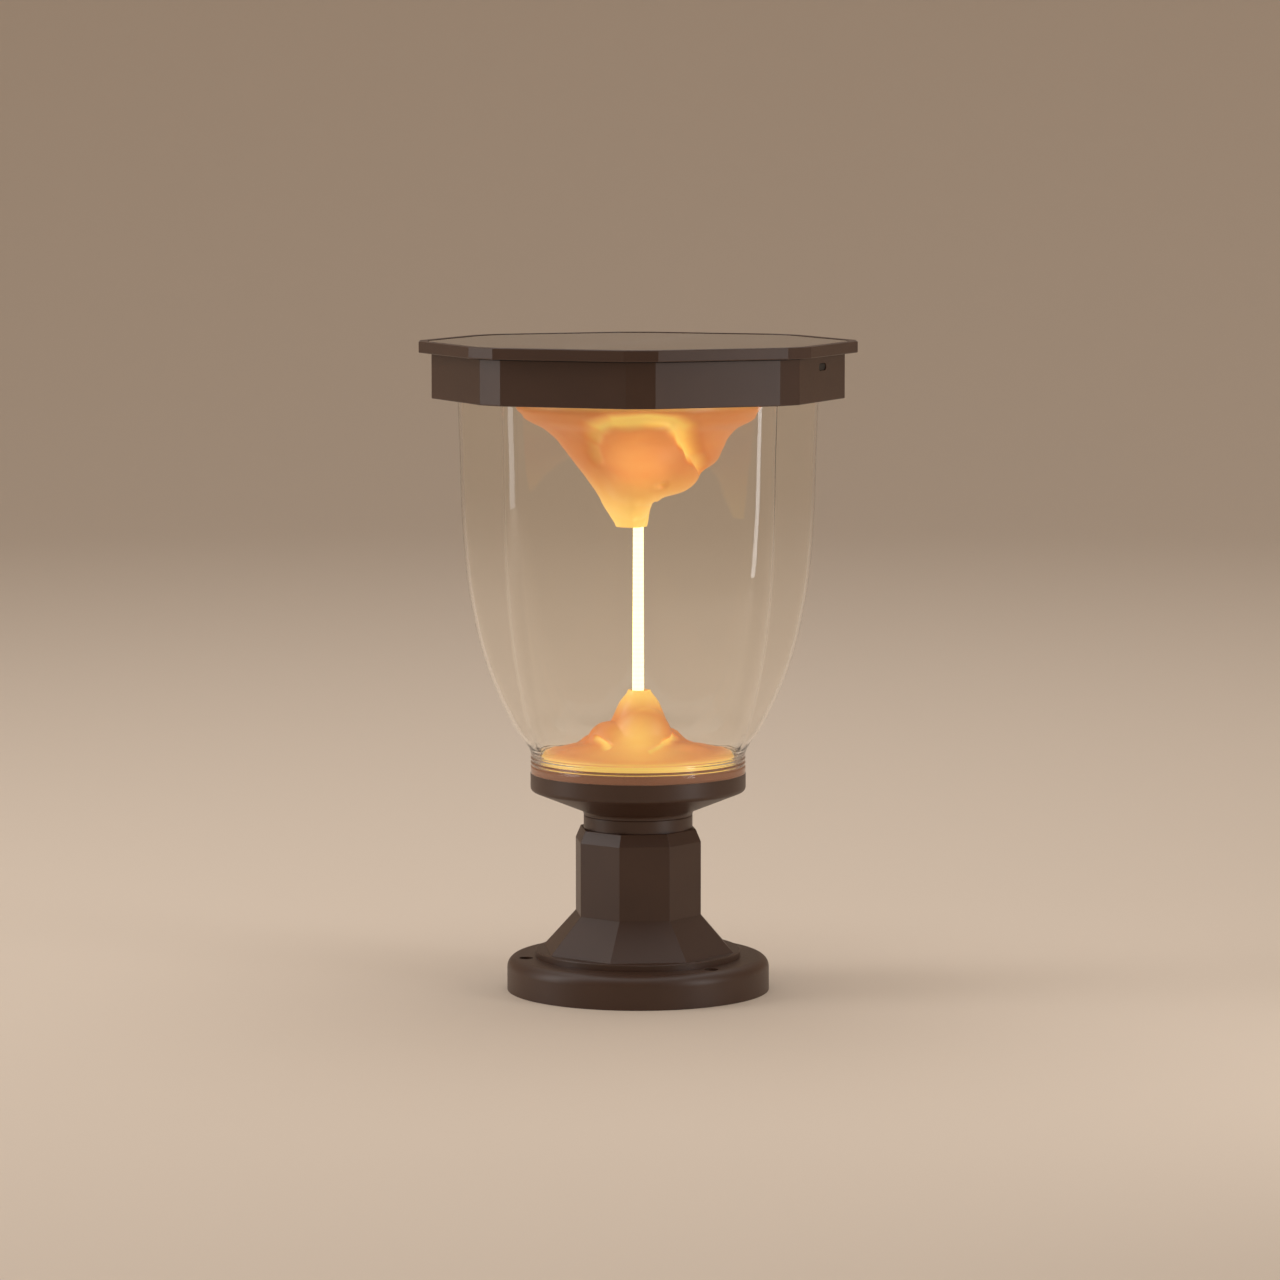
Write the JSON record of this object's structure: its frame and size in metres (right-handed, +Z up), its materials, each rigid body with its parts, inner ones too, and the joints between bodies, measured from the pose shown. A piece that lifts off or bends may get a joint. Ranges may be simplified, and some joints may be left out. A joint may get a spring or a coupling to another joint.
{
  "type": "solar gate light",
  "caption": "Solar gate light: eight-sided head with a solar lid over a clear bowl that holds a glowing filament between amber forms, on a post with a bolted round base.",
  "frame": {"origin": "on the ground, at the middle of the round base", "axes": "+Z up; one corner of the eight-sided head faces -Y, the pictured front; +X to the right"},
  "size_m": [0.2, 0.2, 0.2994],
  "materials": {
    "bronze_powder_coat": "fine satin powder coat, dark coffee bronze",
    "zinc_steel": "bright zinc plate",
    "seal_rubber": "matte",
    "clear_bowl": "clear polished moulding",
    "amber_resin": "translucent amber, smooth and lumpy",
    "filament_sleeve": "milky warm sleeve, lit",
    "filament_light": "warm white phosphor, lit",
    "wire_jacket": "smooth",
    "white_board": "solder mask",
    "green_board": "solder mask",
    "black_nylon": "moulded, fine texture",
    "panel_backing": "laminate",
    "solar_silicon": "dark silicon with thin bus lines",
    "panel_glass": "flat clear pane",
    "cell_wrap": "shrink wrap"
  },
  "bodies": {
    "lamp": {"base_casting": "bronze_powder_coat", "column": "bronze_powder_coat", "tray": "bronze_powder_coat", "tie_rod": "zinc_steel", "tie_nuts": "zinc_steel", "tie_washer": "zinc_steel", "bowl_foot_gasket": "seal_rubber", "clear_bowl": "clear_bowl", "clamp_plate": "zinc_steel", "mound": "amber_resin", "mound_screws": "zinc_steel", "lower_socket": "zinc_steel", "upper_socket": "zinc_steel", "filament_tube": "filament_sleeve", "filament_strip": "filament_light", "filament_leads": "wire_jacket", "drip": "amber_resin", "drip_screws": "zinc_steel", "led_board": "white_board", "led_chips": "filament_light", "lamp_deck": "black_nylon", "deck_screws": "zinc_steel", "bowl_rim_gasket": "seal_rubber", "head_housing": "bronze_powder_coat", "lid_frame": "bronze_powder_coat", "lid_gasket": "seal_rubber", "lid_screws": "zinc_steel", "panel_board": "panel_backing", "panel_leads": "wire_jacket", "solar_cells": "solar_silicon", "solar_glass": "panel_glass", "battery_cells": "cell_wrap", "battery_cradle": "black_nylon", "cell_tabs": "zinc_steel", "controller_board": "green_board", "board_parts": "black_nylon", "board_screws": "zinc_steel", "tact_switch": "black_nylon", "switch_board": "green_board"},
    "power_button": {"power_button": "black_nylon"}
  },
  "joints": [
    {"name": "button_press", "type": "slide", "parent": "lamp", "child": "power_button", "axis": [-0.9239, 0.3827, 0], "range_m": [0, 0.0006], "stiffness_N_per_m": 1200}
  ]
}
